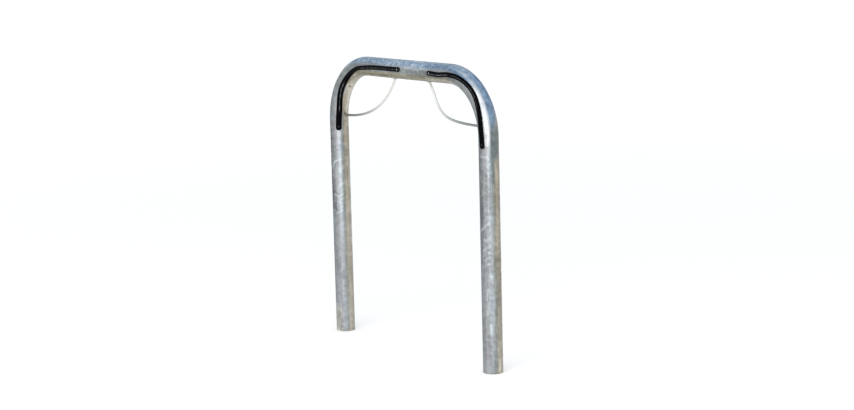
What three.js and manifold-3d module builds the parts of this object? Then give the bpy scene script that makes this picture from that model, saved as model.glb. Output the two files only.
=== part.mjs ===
// Hoop bike rack: one bent galvanised tube, two welded lock rods in its corners,
// and four riveted rubber strips that keep the bicycles off the steel.
// Millimetres, +Z up. The origin lies on the ground, midway between the two legs.
// +X runs from leg to leg, and -Y is the side that a bicycle leans on first.

import * as THREE from 'three';
import { mergeVertices } from 'three/addons/utils/BufferGeometryUtils.js';
import Module from 'manifold-3d';

const wasm = await Module();
wasm.setup();

// Driving dimensions

// Spacing, height and bend radius are taken to the middle of the tube.
const hoop = {
  tubeDiameter: 60.3,
  tubeWall: 3.2,
  legSpacing: 792,
  barHeight: 881,
  bendRadius: 178,
  sides: 36,
  bendSteps: 14,
};

const fit = {
  seatGap: 0.3,
  headClearance: 0.8,
  cutOverrun: 4,
  blankOverlap: 2,
};

const strip = {
  crownHeight: 6,
  edgeHeight: 1.6,
  recessFloor: 2.2,
  crownPoints: 7,
  basePoints: 3,
  ringSpacing: 18,
};

// A strip reaches below the bend on its leg, and stops short of the hoop's middle.
// It winds round the tube: the turn is the angle from the tube's front towards the
// inside of the hoop, at even steps from the strip's leg end to its bar end.
const stripFits = {
  left: {
    legReach: 37,
    middleGap: 4,
    legWidth: 18.5,
    bendWidth: 18.5,
    barWidth: 14,
    turnDegrees: [52, 56, 41, 29, 9, -2, -4, -4],
  },
  right: {
    legReach: 30,
    middleGap: 140,
    legWidth: 16.5,
    bendWidth: 13.5,
    barWidth: 15,
    turnDegrees: [-14, -10, -22, -32, -22, -6, 4, 0],
  },
};

// The bulge and the pin's head stand out from the shank and the pin by their swell.
const rivet = {
  endInset: 12,
  shankDiameter: 4,
  headDiameter: 7.6,
  headHeight: 1.5,
  rimHeight: 0.4,
  bulgeSwell: 1.2,
  bulgeLength: 5,
  pinDiameter: 1.9,
  pinHeadSwell: 0.85,
  pinHeadLength: 1.8,
  pinSetback: 0.4,
  sides: 10,
};

const rod = {
  diameter: 8,
  weldLeg: 3.5,
  weldHeight: 5,
  sides: 12,
  steps: 26,
};

// A rod meets its leg past the start of the bend, and the bar short of the hoop's middle.
// At the leg it is set off the middle plane, away from the strip that winds inwards there.
// Pulls are the lengths over which the rod runs on in the direction that it starts in.
const rodFits = {
  left: {
    legSeat: 14.5,
    legSetback: 8,
    middleGap: 71,
    legPull: 197,
    barPull: 49,
    barSlopeDegrees: 59,
  },
  right: {
    legSeat: 39.5,
    legSetback: -8,
    middleGap: 108,
    legPull: 220,
    barPull: 102,
    barSlopeDegrees: 54,
  },
};

// Shares of a quarter turn, for the points of the round forms.
const tipShares = [0.25, 0.5, 0.75, 0.875];
const domeShares = [0.3, 0.6, 0.85];
const filletShares = [0, 0.25, 0.5, 0.75, 1];

// Derived sizes

const tubeRadius = hoop.tubeDiameter / 2;
const boreRadius = tubeRadius - hoop.tubeWall;
const legLength = hoop.barHeight - hoop.bendRadius;
const bendLength = hoop.bendRadius * Math.PI / 2;
const barLength = hoop.legSpacing - 2 * hoop.bendRadius;
const hoopLength = 2 * legLength + 2 * bendLength + barLength;
const front = new THREE.Vector3(0, -1, 0);

// Materials

const galvanised = () => new THREE.MeshStandardMaterial({
  color: 0xa9aeb1,
  roughness: 0.45,
  metalness: 0.85,
});

const rubber = () => new THREE.MeshStandardMaterial({
  color: 0x17181a,
  roughness: 0.55,
  metalness: 0,
});

const aluminium = () => new THREE.MeshStandardMaterial({
  color: 0x8f9294,
  roughness: 0.4,
  metalness: 0.9,
});

const plainSteel = () => new THREE.MeshStandardMaterial({
  color: 0x6d7073,
  roughness: 0.5,
  metalness: 0.9,
});

// Solids and meshes

function toSolid(geometry) {
  const bare = geometry.clone();
  bare.deleteAttribute('normal');
  bare.deleteAttribute('uv');
  const merged = mergeVertices(bare);
  return new wasm.Manifold(new wasm.Mesh({
    numProp: 3,
    vertProperties: new Float32Array(merged.attributes.position.array),
    triVerts: new Uint32Array(merged.index.array),
  }));
}

function toGeometry(solid) {
  const { vertProperties, triVerts } = solid.getMesh();
  const geometry = new THREE.BufferGeometry();
  geometry.setAttribute('position', new THREE.BufferAttribute(vertProperties, 3));
  geometry.setIndex(new THREE.BufferAttribute(triVerts, 1));
  geometry.computeVertexNormals();
  return geometry;
}

function namedMesh(name, geometry, material) {
  const mesh = new THREE.Mesh(geometry, material);
  mesh.name = name;
  return mesh;
}

// A closed body through a row of rings that all hold the same number of points.
function loft(rings) {
  const count = rings[0].length;
  const points = rings.flat();
  const faces = [];
  for (let ring = 0; ring + 1 < rings.length; ring += 1) {
    for (let side = 0; side < count; side += 1) {
      const next = (side + 1) % count;
      const a = ring * count + side;
      const b = ring * count + next;
      faces.push(a, b, b + count);
      faces.push(a, b + count, a + count);
    }
  }
  const capEnd = (ring, reversed) => {
    const centre = new THREE.Vector3();
    for (const point of ring) centre.add(point);
    points.push(centre.divideScalar(count));
    const first = reversed ? 0 : (rings.length - 1) * count;
    for (let side = 0; side < count; side += 1) {
      const a = first + side;
      const b = first + (side + 1) % count;
      faces.push(...(reversed ? [b, a, points.length - 1] : [a, b, points.length - 1]));
    }
  };
  capEnd(rings[0], true);
  capEnd(rings[rings.length - 1], false);
  const geometry = new THREE.BufferGeometry().setFromPoints(points);
  geometry.setIndex(faces);
  return geometry;
}

// The hoop's centreline

// The place at a distance along the tube from the left foot: its centre, the way
// along the tube, and the way to the inside of the hoop.
function hoopFrame(distance) {
  const mirrored = distance > hoopLength / 2;
  const run = mirrored ? hoopLength - distance : distance;
  const left = -hoop.legSpacing / 2;
  const centre = new THREE.Vector3(left, 0, run);
  let angle = 0;
  if (run > legLength) {
    angle = Math.min((run - legLength) / hoop.bendRadius, Math.PI / 2);
    const past = Math.max(run - legLength - bendLength, 0);
    centre.x = left + hoop.bendRadius * (1 - Math.cos(angle)) + past;
    centre.z = legLength + hoop.bendRadius * Math.sin(angle);
  }
  const along = new THREE.Vector3(Math.sin(angle), 0, Math.cos(angle));
  const inward = new THREE.Vector3(Math.cos(angle), 0, -Math.sin(angle));
  if (mirrored) {
    centre.x = -centre.x;
    along.z = -along.z;
    inward.x = -inward.x;
  }
  return { centre, along, inward };
}

// The way out of the tube at a turn from its front towards the inside.
function outward(frame, turn) {
  const direction = front.clone().multiplyScalar(Math.cos(turn));
  return direction.addScaledVector(frame.inward, Math.sin(turn));
}

function tubePoint(frame, turn, radius) {
  return frame.centre.clone().addScaledVector(outward(frame, turn), radius);
}

// A solid bar of a given radius along the whole hoop, lengthened at both feet.
function hoopBar(radius, overrun) {
  const stops = [-overrun];
  for (let step = 0; step <= hoop.bendSteps; step += 1) {
    stops.push(legLength + bendLength * step / hoop.bendSteps);
  }
  const mirroredStops = stops.map((stop) => hoopLength - stop).reverse();
  const rings = [...stops, ...mirroredStops].map((stop) => {
    const frame = hoopFrame(stop);
    const ring = [];
    for (let side = 0; side < hoop.sides; side += 1) {
      ring.push(tubePoint(frame, 2 * Math.PI * side / hoop.sides, radius));
    }
    return ring;
  });
  return toSolid(loft(rings));
}

// What sits on the tube is made with a blank that reaches into it, then cut to this skin.
const tubeSkin = hoopBar(tubeRadius + fit.seatGap, fit.cutOverrun);

// Where things sit on the tube

// A distance from one foot becomes a distance from the left foot.
function fromLeftFoot(side, distance) {
  return side === 'left' ? distance : hoopLength - distance;
}

function stripSpan(sizes) {
  return {
    start: legLength - sizes.legReach,
    end: hoopLength / 2 - sizes.middleGap,
  };
}

// The strip's turn, in radians, at a distance from its own foot.
function stripTurn(sizes, distance) {
  const { start, end } = stripSpan(sizes);
  const steps = sizes.turnDegrees.length - 1;
  const stops = sizes.turnDegrees.map((turn, step) => start + (end - start) * step / steps);
  const curve = new THREE.CubicInterpolant(stops, sizes.turnDegrees, 1);
  return THREE.MathUtils.degToRad(curve.evaluate(distance)[0]);
}

function stripWidth(sizes, distance) {
  const middle = legLength + bendLength / 2;
  const towardsLeg = THREE.MathUtils.smoothstep(middle - distance, 0, bendLength / 2);
  const towardsBar = THREE.MathUtils.smoothstep(distance - middle, 0, bendLength / 2);
  const extra = (sizes.legWidth - sizes.bendWidth) * towardsLeg;
  return sizes.bendWidth + extra + (sizes.barWidth - sizes.bendWidth) * towardsBar;
}

function rivetPlaces(sizes) {
  const { start, end } = stripSpan(sizes);
  return {
    leg: start + rivet.endInset,
    bar: end - rivet.endInset,
  };
}

// A rivet's own axis is +Y, measured from the middle of the tube.
function placeOnTube(object, side, sizes, distance) {
  const frame = hoopFrame(fromLeftFoot(side, distance));
  const direction = outward(frame, stripTurn(sizes, distance));
  object.position.copy(frame.centre);
  object.quaternion.setFromUnitVectors(new THREE.Vector3(0, 1, 0), direction);
  object.updateMatrix();
  return object;
}

// A round cutter on a rivet's axis, between two distances from the tube's middle.
function rivetCutter(side, sizes, distance, radius, from, to) {
  const cutter = new THREE.CylinderGeometry(radius, radius, to - from, rivet.sides);
  cutter.translate(0, (from + to) / 2, 0);
  const place = placeOnTube(new THREE.Object3D(), side, sizes, distance);
  return cutter.applyMatrix4(place.matrix);
}

const holeRadius = rivet.shankDiameter / 2 + fit.seatGap;
const recessRadius = rivet.headDiameter / 2 + fit.headClearance;

// Rubber strips

const stripSeat = tubeRadius + fit.seatGap;
const recessFloorRadius = tubeRadius + strip.recessFloor;

// One ring round the strip: the base inside the tube, then back over the crown.
function stripRing(side, sizes, distance, endShare) {
  const frame = hoopFrame(fromLeftFoot(side, distance));
  const turn = stripTurn(sizes, distance);
  const halfWidth = stripWidth(sizes, distance) / 2 * endShare;
  const ring = [];
  const add = (share, height) => {
    const spread = turn + share * halfWidth / tubeRadius;
    ring.push(tubePoint(frame, spread, stripSeat + height));
  };
  for (let index = 0; index < strip.basePoints; index += 1) {
    add(-1 + 2 * index / (strip.basePoints - 1), -fit.blankOverlap);
  }
  for (let index = 0; index < strip.crownPoints; index += 1) {
    const angle = Math.PI * index / (strip.crownPoints - 1);
    const rise = (strip.crownHeight - strip.edgeHeight) * endShare * Math.sin(angle);
    add(Math.cos(angle), strip.edgeHeight + rise);
  }
  return side === 'left' ? ring.reverse() : ring;
}

function stripGeometry(side) {
  const sizes = stripFits[side];
  const { start, end } = stripSpan(sizes);
  const legRound = sizes.legWidth / 2;
  const barRound = sizes.barWidth / 2;
  const rings = [];
  const addTipRing = (tip, radius, share) => {
    const angle = share * Math.PI / 2;
    const distance = tip + radius * (1 - Math.sin(angle));
    rings.push(stripRing(side, sizes, distance, Math.cos(angle)));
  };
  for (const share of [...tipShares].reverse()) addTipRing(start, legRound, share);
  const run = end - barRound - start - legRound;
  const count = Math.ceil(run / strip.ringSpacing);
  for (let index = 0; index <= count; index += 1) {
    rings.push(stripRing(side, sizes, start + legRound + run * index / count, 1));
  }
  for (const share of tipShares) addTipRing(end, -barRound, share);

  let solid = toSolid(loft(rings)).subtract(tubeSkin);
  const top = stripSeat + strip.crownHeight + fit.cutOverrun;
  for (const distance of Object.values(rivetPlaces(sizes))) {
    const recess = rivetCutter(side, sizes, distance, recessRadius, recessFloorRadius, top);
    const hole = rivetCutter(side, sizes, distance, holeRadius, boreRadius, top);
    solid = solid.subtract(toSolid(recess)).subtract(toSolid(hole));
  }
  return toGeometry(solid);
}

// Blind rivets

const headSeat = recessFloorRadius + fit.seatGap;
const bulgeRadius = rivet.shankDiameter / 2 + rivet.bulgeSwell;
const bulgeTop = Math.sqrt(boreRadius ** 2 - bulgeRadius ** 2) - fit.seatGap;
const bulgeBottom = bulgeTop - rivet.bulgeLength;
const sleeveBore = rivet.pinDiameter / 2 + fit.seatGap;

function lathe(points) {
  const outline = points.map(([radius, height]) => new THREE.Vector2(radius, height));
  return toGeometry(toSolid(new THREE.LatheGeometry(outline, rivet.sides)));
}

// The sleeve: bulged inside the tube, straight through the wall, domed outside.
function rivetSleeve() {
  const shank = rivet.shankDiameter / 2;
  const head = rivet.headDiameter / 2;
  const domeTop = headSeat + rivet.headHeight;
  const rimTop = headSeat + rivet.rimHeight;
  const dome = domeShares.map((share) => [
    head - (head - sleeveBore) * share,
    rimTop + (domeTop - rimTop) * Math.sin(share * Math.PI / 2),
  ]);
  return lathe([
    [sleeveBore, bulgeBottom],
    [shank, bulgeBottom],
    [bulgeRadius, (bulgeBottom + bulgeTop) / 2],
    [bulgeRadius, bulgeTop],
    [shank, bulgeTop],
    [shank, headSeat],
    [head, headSeat],
    [head, rimTop],
    ...dome,
    [sleeveBore, domeTop],
    [sleeveBore, bulgeBottom],
  ]);
}

// The pin that set the rivet, snapped off just below the top of the dome.
function rivetPin() {
  const pin = rivet.pinDiameter / 2;
  const pinHead = pin + rivet.pinHeadSwell;
  const headTop = bulgeBottom - fit.seatGap;
  const middle = headTop - rivet.pinHeadLength / 2;
  const top = headSeat + rivet.headHeight - rivet.pinSetback;
  return lathe([
    [0, headTop - rivet.pinHeadLength],
    [pin, headTop - rivet.pinHeadLength],
    [pinHead, middle],
    [pinHead, headTop],
    [pin, headTop],
    [pin, top],
    [0, top],
  ]);
}

// Lock rods

// The fillet round a rod's end, on the axis that leaves the tube squarely.
function weldCollar(seat, direction) {
  const core = rod.diameter / 2;
  const foot = core + rod.weldLeg;
  const flank = filletShares.map((share) => [
    core + rod.weldLeg * (1 - Math.sin(share * Math.PI / 2)),
    rod.weldHeight * (1 - Math.cos(share * Math.PI / 2)),
  ]);
  const outline = [[0, -foot], [foot, -foot], ...flank, [0, rod.weldHeight]];
  const points = outline.map(([radius, height]) => new THREE.Vector2(radius, height));
  const collar = new THREE.LatheGeometry(points, rod.sides);
  const place = new THREE.Object3D();
  place.position.copy(seat);
  place.quaternion.setFromUnitVectors(new THREE.Vector3(0, 1, 0), direction);
  place.updateMatrix();
  return toSolid(collar.applyMatrix4(place.matrix));
}

function rodGeometry(side) {
  const sizes = rodFits[side];
  const legFrame = hoopFrame(fromLeftFoot(side, legLength + sizes.legSeat));
  const barFrame = hoopFrame(fromLeftFoot(side, hoopLength / 2 - sizes.middleGap));
  const legTurn = Math.PI / 2 + Math.asin(sizes.legSetback / tubeRadius);
  const legOut = outward(legFrame, legTurn);
  const barOut = outward(barFrame, Math.PI / 2);
  const legSeat = tubePoint(legFrame, legTurn, tubeRadius);
  const barSeat = tubePoint(barFrame, Math.PI / 2, tubeRadius);
  const towardsMiddle = new THREE.Vector3(-Math.sign(legSeat.x), 0, 0);
  const slope = THREE.MathUtils.degToRad(sizes.barSlopeDegrees);
  const barWay = towardsMiddle.clone().multiplyScalar(-Math.cos(slope));
  barWay.addScaledVector(barOut, Math.sin(slope));

  const path = new THREE.CubicBezierCurve3(
    barSeat.clone().addScaledVector(barWay, -rod.diameter / 2),
    barSeat.clone().addScaledVector(barWay, sizes.barPull),
    legSeat.clone().addScaledVector(towardsMiddle, sizes.legPull),
    legSeat.clone().addScaledVector(towardsMiddle, -rod.diameter / 2),
  );
  const section = new THREE.Shape().absarc(0, 0, rod.diameter / 2, 0, 2 * Math.PI);
  const bar = new THREE.ExtrudeGeometry(section, {
    extrudePath: path,
    steps: rod.steps,
    curveSegments: rod.sides / 2,
  });
  const solid = toSolid(bar)
    .add(weldCollar(legSeat, legOut))
    .add(weldCollar(barSeat, barOut))
    .subtract(tubeSkin);
  return toGeometry(solid);
}

// The rear is dressed as the front is, seen by someone who stands behind it.
const faceTurns = { front: 0, rear: Math.PI };

// The tube, bored and drilled for the rivets of all four strips
function tubeGeometry() {
  const from = boreRadius - fit.cutOverrun;
  const to = tubeRadius + fit.cutOverrun;
  let solid = hoopBar(tubeRadius, 0).subtract(hoopBar(boreRadius, fit.cutOverrun));
  for (const faceTurn of Object.values(faceTurns)) {
    for (const [side, sizes] of Object.entries(stripFits)) {
      for (const distance of Object.values(rivetPlaces(sizes))) {
        const drill = rivetCutter(side, sizes, distance, holeRadius, from, to);
        solid = solid.subtract(toSolid(drill.rotateZ(faceTurn)));
      }
    }
  }
  return toGeometry(solid);
}

// Assembly

const rack = new THREE.Group();
rack.add(namedMesh('hoop_tube', tubeGeometry(), galvanised()));
for (const side of ['left', 'right']) {
  rack.add(namedMesh(`lock_rod_${side}`, rodGeometry(side), galvanised()));
}

for (const [face, faceTurn] of Object.entries(faceTurns)) {
  const dressing = new THREE.Group();
  dressing.rotation.z = faceTurn;
  for (const [side, sizes] of Object.entries(stripFits)) {
    dressing.add(namedMesh(`strip_${face}_${side}`, stripGeometry(side), rubber()));
    for (const [end, distance] of Object.entries(rivetPlaces(sizes))) {
      const sleeve = namedMesh(`rivet_${face}_${side}_${end}`, rivetSleeve(), aluminium());
      const pin = namedMesh(`rivet_pin_${face}_${side}_${end}`, rivetPin(), plainSteel());
      dressing.add(placeOnTube(sleeve, side, sizes, distance));
      dressing.add(placeOnTube(pin, side, sizes, distance));
    }
  }
  rack.add(dressing);
}

export default rack;
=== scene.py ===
from math import asin, atan2, ceil, cos, pi, radians, sin, sqrt

import bmesh
import bpy
from mathutils import Matrix, Vector, noise


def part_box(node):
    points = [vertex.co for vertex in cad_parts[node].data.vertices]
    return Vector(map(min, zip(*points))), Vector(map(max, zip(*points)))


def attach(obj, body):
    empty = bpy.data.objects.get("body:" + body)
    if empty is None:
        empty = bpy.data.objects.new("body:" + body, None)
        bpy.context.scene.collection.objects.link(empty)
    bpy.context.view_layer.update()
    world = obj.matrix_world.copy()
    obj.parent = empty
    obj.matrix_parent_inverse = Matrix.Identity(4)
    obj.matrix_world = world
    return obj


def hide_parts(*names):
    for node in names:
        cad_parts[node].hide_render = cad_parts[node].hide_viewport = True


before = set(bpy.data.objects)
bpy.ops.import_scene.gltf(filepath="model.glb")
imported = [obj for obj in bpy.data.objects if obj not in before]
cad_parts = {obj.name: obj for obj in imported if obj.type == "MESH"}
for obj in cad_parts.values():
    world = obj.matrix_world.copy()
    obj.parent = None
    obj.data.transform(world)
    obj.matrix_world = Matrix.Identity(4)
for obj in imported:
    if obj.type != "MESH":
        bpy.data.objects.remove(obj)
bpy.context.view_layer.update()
print("frame loaded,", len(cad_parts), "nodes")

scene = bpy.context.scene
frontWay = Vector((0, -1, 0))
sharpDegrees = 35    # edges that turn more than this stay crisp


# camera: where the photographer stood, at eye height
camera = {
    "place": (4.8587, -3.4466, 1.3812),
    "azimuth": 54.2,      # degrees round from the front, towards +X
    "downTilt": 8.8,
    "roll": -1.44,
    "lens": 81.74,
    "sensorWidth": 36,
    "farClip": 200,
}


photo = {
    "width": 854,        # pixels
    "height": 410,
    "stepBack": 0.1,     # metres before the hoop's plane, where a look at the tube starts
    "lookSteps": 80,
}


def cameraStance():
    turn = Matrix.Rotation(radians(camera["azimuth"]), 4, "Z")
    tilt = Matrix.Rotation(radians(90 - camera["downTilt"]), 4, "X")
    roll = Matrix.Rotation(radians(camera["roll"]), 4, "Z")
    return Matrix.Translation(camera["place"]) @ turn @ tilt @ roll


def addCamera():
    data = bpy.data.cameras.new("camera")
    data.sensor_fit = "HORIZONTAL"
    data.sensor_width = camera["sensorWidth"]
    data.lens = camera["lens"]
    data.clip_end = camera["farClip"]
    eye = bpy.data.objects.new("camera", data)
    eye.matrix_world = cameraStance()
    scene.collection.objects.link(eye)
    scene.camera = eye


addCamera()
print("camera placed")


# the hoop: one tube bent twice; spacing and height come from the model
tubeLow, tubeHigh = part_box("hoop_tube")
hoop = {
    "radius": (tubeHigh.y - tubeLow.y) / 2,
    "wall": 0.0032,
    "bendRadius": 0.178,
    "footRound": 0.0008,   # the sawn edges, dulled by the zinc
    "footRoundSteps": 3,
    "sides": 96,
    "legSteps": 40,
    "bendSteps": 72,
    "barSteps": 24,
}
hoop["halfSpan"] = tubeHigh.x - hoop["radius"]
hoop["barHeight"] = tubeHigh.z - hoop["radius"]
boreRadius = hoop["radius"] - hoop["wall"]
legLength = hoop["barHeight"] - hoop["bendRadius"]
bendLength = hoop["bendRadius"] * pi / 2
halfLength = legLength + bendLength + hoop["halfSpan"] - hoop["bendRadius"]


def hoopPlace(distance):
    # centre, way along and way to the inside, at a distance from the left foot
    mirrored = distance > halfLength
    run = 2 * halfLength - distance if mirrored else distance
    angle = min(max((run - legLength) / hoop["bendRadius"], 0), pi / 2)
    past = max(run - legLength - bendLength, 0)
    x = -hoop["halfSpan"] + hoop["bendRadius"] * (1 - cos(angle)) + past
    z = min(run, legLength) + hoop["bendRadius"] * sin(angle)
    side = -1 if mirrored else 1
    centre = Vector((side * x, 0, z))
    along = Vector((sin(angle), 0, side * cos(angle)))
    inward = Vector((side * cos(angle), 0, -sin(angle)))
    return centre, along, inward


def wayOut(distance, turn):
    # out of the tube, at a turn from its front towards the inside of the hoop
    return cos(turn) * frontWay + sin(turn) * hoopPlace(distance)[2]


def onTube(distance, turn, radius):
    return hoopPlace(distance)[0] + radius * wayOut(distance, turn)


def fromLeftFoot(side, distance):
    return distance if side == "left" else 2 * halfLength - distance


def nearestOnTube(point):
    # distance from the left foot, and turn, of the place on the tube nearest to a point
    aside = abs(point.x) - hoop["halfSpan"] + hoop["bendRadius"]
    above = point.z - legLength
    angle = atan2(max(above, 0), max(aside, 0))
    run = min(point.z, legLength) + hoop["bendRadius"] * angle + max(-aside, 0)
    distance = fromLeftFoot("left" if point.x < 0 else "right", run)
    centre, along, inward = hoopPlace(distance)
    out = point - centre
    return distance, atan2(out.dot(inward), out.dot(frontWay))


def seenOnTube(pixel):
    # distance and turn of the place on the tube that the camera sees at a pixel
    across, down = pixel
    focal = camera["lens"] / camera["sensorWidth"] * photo["width"]
    way = Vector((across - photo["width"] / 2, photo["height"] / 2 - down, -focal))
    stance = cameraStance()
    way = (stance.to_3x3() @ way).normalized()
    eye = stance.translation
    point = eye - way * (eye.y / way.y + photo["stepBack"])
    for look in range(photo["lookSteps"]):
        centre = hoopPlace(nearestOnTube(point)[0])[0]
        point += way * ((point - centre).length - hoop["radius"])
    return nearestOnTube(point)


def evenSteps(start, end, count):
    return [start + (end - start) * step / count for step in range(count + 1)]


def ringFaces(ringCount, size, closed=False):
    # quads between rows of points, each row closed on itself
    faces = []
    for ring in range(ringCount if closed else ringCount - 1):
        here, there = ring * size, (ring + 1) % ringCount * size
        for side in range(size):
            onward = (side + 1) % size
            faces.append((here + side, here + onward, there + onward, there + side))
    return faces


def makePiece(name, points, faces, places, crispDegrees=sharpDegrees):
    # places: where each point lies in the piece's own straightened, unbent space
    mesh = bpy.data.meshes.new(name)
    mesh.from_pydata(points, [], faces)
    attribute = mesh.attributes.new("ownPlace", "FLOAT_VECTOR", "POINT")
    for index, place in enumerate(places):
        attribute.data[index].vector = place
    shape = bmesh.new()
    shape.from_mesh(mesh)
    bmesh.ops.recalc_face_normals(shape, faces=shape.faces)
    shape.to_mesh(mesh)
    shape.free()
    mesh.shade_smooth()
    mesh.set_sharp_from_angle(angle=radians(crispDegrees))
    piece = bpy.data.objects.new(name, mesh)
    scene.collection.objects.link(piece)
    return piece


def dress(piece, material, node):
    piece.data.materials.clear()
    piece.data.materials.append(material)
    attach(piece, "root")
    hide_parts(node)


def makeTube():
    full = 2 * halfLength
    half = evenSteps(0, legLength, hoop["legSteps"])[1:-1]
    half += evenSteps(legLength, legLength + bendLength, hoop["bendSteps"])
    half += evenSteps(legLength + bendLength, halfLength, hoop["barSteps"])[1:]
    stops = half + [full - stop for stop in reversed(half[:-1])]
    # the bore is hidden: one long step in each leg, and half the steps above
    boreStops = half[:1] + half[hoop["legSteps"] - 1::2]
    boreStops += [full - stop for stop in reversed(boreStops[:-1])]
    edge = hoop["footRound"]
    angles = evenSteps(0, pi / 2, hoop["footRoundSteps"])
    corner = [(edge * (1 - cos(angle)), edge * (1 - sin(angle))) for angle in angles]
    outerFoot = [(up, hoop["radius"] - back) for up, back in corner]
    boreFoot = [(up, boreRadius + back) for up, back in corner]
    rows = outerFoot + [(stop, hoop["radius"]) for stop in stops]
    rows += [(full - up, radius) for up, radius in reversed(outerFoot)]
    rows += [(full - up, radius) for up, radius in boreFoot]
    rows += [(stop, boreRadius) for stop in reversed(boreStops)] + boreFoot[::-1]
    points, places = [], []
    for distance, radius in rows:
        for turn in evenSteps(0, 2 * pi, hoop["sides"])[:-1]:
            points.append(onTube(distance, turn, radius))
            places.append((radius * cos(turn), radius * sin(turn), distance))
    return makePiece("tube", points, ringFaces(len(rows), hoop["sides"], True), places)


def makeLathe(name, outline, origin, axis, sides, closed=False):
    # outline: (radius, height) pairs; a point on the axis becomes one vertex
    across = axis.orthogonal().normalized()
    sideways = axis.cross(across)
    points, places, rows = [], [], []
    for radius, height in outline:
        turns = evenSteps(0, 2 * pi, sides)[:-1] if radius else [0]
        rows.append([len(points) + index for index in range(len(turns))] * (1 if radius else sides))
        for turn in turns:
            points.append(origin + axis * height + radius * (cos(turn) * across + sin(turn) * sideways))
            places.append((radius * cos(turn), radius * sin(turn), height))
    faces = []
    for here, there in zip(rows, rows[1:] + rows[:1] if closed else rows[1:]):
        for side in range(sides):
            onward = (side + 1) % sides
            corners = (here[side], here[onward], there[onward], there[side])
            faces.append(tuple(dict.fromkeys(corners)))
    return makePiece(name, points, faces, places)


def drill(piece, cutters):
    for cutter in cutters:
        cut = piece.modifiers.new("drill", "BOOLEAN")
        cut.operation = "DIFFERENCE"
        cut.solver = "EXACT"
        cut.object = cutter
    graph = bpy.context.evaluated_depsgraph_get()
    drilled = bpy.data.meshes.new_from_object(piece.evaluated_get(graph))
    piece.modifiers.clear()
    piece.data = drilled
    drilled.set_sharp_from_angle(angle=radians(sharpDegrees))
    for cutter in cutters:
        bpy.data.objects.remove(cutter)


# rubber strips: each winds round the tube, so that bicycles lean on rubber
strips = {
    "crownHeight": 0.006,
    "edgeHeight": 0.0016,
    "seatHeight": 0.00005,
    "recessFloor": 0.0024,
    "recessRadius": 0.0046,
    "recessSides": 48,
    "endInset": 0.012,      # from a strip's tip to its rivet
    "crownPoints": 30,
    "basePoints": 8,
    "ringSpacing": 0.002,
    "tipSteps": 12,
}
# the turns lie at even steps from the leg's end of a strip to the bar's
stripFits = {
    "left": {
        "legReach": 0.037,
        "middleGap": 0.004,
        "legWidth": 0.0185,
        "bendWidth": 0.0185,
        "barWidth": 0.014,
        "turnDegrees": [52, 56, 41, 29, 9, -2, -4, -4],
    },
    "right": {
        "legReach": 0.03,
        "middleGap": 0.14,
        "legWidth": 0.0165,
        "bendWidth": 0.0135,
        "barWidth": 0.015,
        "turnDegrees": [-14, -10, -22, -32, -22, -6, 4, 0],
    },
}
faceTurns = {"front": 0, "rear": pi}   # the rear is dressed as the front is


def stripSpan(sizes):
    return legLength - sizes["legReach"], halfLength - sizes["middleGap"]


def stripTurn(sizes, distance):
    # a smooth curve through the turns
    start, end = stripSpan(sizes)
    turns = sizes["turnDegrees"]
    at = min(max((distance - start) / (end - start), 0), 1) * (len(turns) - 1)
    step = min(int(at), len(turns) - 2)
    share = at - step
    a, b, c, d = ([turns[1]] + turns + [turns[-2]])[step:step + 4]
    slope = (c - a) / 2
    curve = a - 2.5 * b + 2 * c - d / 2
    twist = 1.5 * (b - c) + (d - a) / 2
    return radians(b + slope * share + curve * share ** 2 + twist * share ** 3)


def smoothStep(value, high):
    share = min(max(value / high, 0), 1)
    return share * share * (3 - 2 * share)


def stripWidth(sizes, distance):
    fromMiddle = distance - legLength - bendLength / 2
    toLeg = (sizes["legWidth"] - sizes["bendWidth"]) * smoothStep(-fromMiddle, bendLength / 2)
    toBar = (sizes["barWidth"] - sizes["bendWidth"]) * smoothStep(fromMiddle, bendLength / 2)
    return sizes["bendWidth"] + toLeg + toBar


def makeStrip(face, side):
    sizes = stripFits[side]
    start, end = stripSpan(sizes)
    legRound, barRound = sizes["legWidth"] / 2, sizes["barWidth"] / 2
    angles = [pi / 2 * step / (strips["tipSteps"] + 1) for step in range(1, strips["tipSteps"] + 1)]
    count = ceil((end - start) / strips["ringSpacing"])
    # rows: distance, and how much of the width and crown a rounded tip still has there
    rows = [(start + legRound * (1 - sin(angle)), cos(angle)) for angle in reversed(angles)]
    rows += [(stop, 1) for stop in evenSteps(start + legRound, end - barRound, count)]
    rows += [(end - barRound * (1 - sin(angle)), cos(angle)) for angle in angles]
    section = [(share, strips["seatHeight"], 0) for share in evenSteps(-1, 1, strips["basePoints"])]
    for angle in evenSteps(0, pi, strips["crownPoints"]):
        section.append((cos(angle), strips["edgeHeight"], sin(angle)))
    rise = strips["crownHeight"] - strips["edgeHeight"]
    points, places = [], []
    for distance, tipShare in rows:
        halfWidth = stripWidth(sizes, distance) / 2 * tipShare
        fromLeft = fromLeftFoot(side, distance)
        for share, height, crownShare in section:
            spread = share * halfWidth
            up = height + rise * crownShare * tipShare
            turn = stripTurn(sizes, distance) + spread / hoop["radius"]
            points.append(onTube(fromLeft, turn, hoop["radius"] + up))
            places.append((spread, up, distance))
    size = len(section)
    faces = ringFaces(len(rows), size)
    faces += [tuple(range(size)), tuple(range(len(points) - size, len(points)))]
    strip = makePiece(f"rubberStrip_{face}_{side}", points, faces, places)
    strip.data.transform(Matrix.Rotation(faceTurns[face], 4, "Z"))
    return strip


def rivetPlaces(face, side):
    # centre of the tube and way out at each of a strip's two rivets
    sizes = stripFits[side]
    start, end = stripSpan(sizes)
    turnRound = Matrix.Rotation(faceTurns[face], 3, "Z")
    found = {}
    for name, distance in (("leg", start + strips["endInset"]), ("bar", end - strips["endInset"])):
        fromLeft = fromLeftFoot(side, distance)
        axis = wayOut(fromLeft, stripTurn(sizes, distance))
        found[name] = (turnRound @ hoopPlace(fromLeft)[0], turnRound @ axis)
    return found


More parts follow.
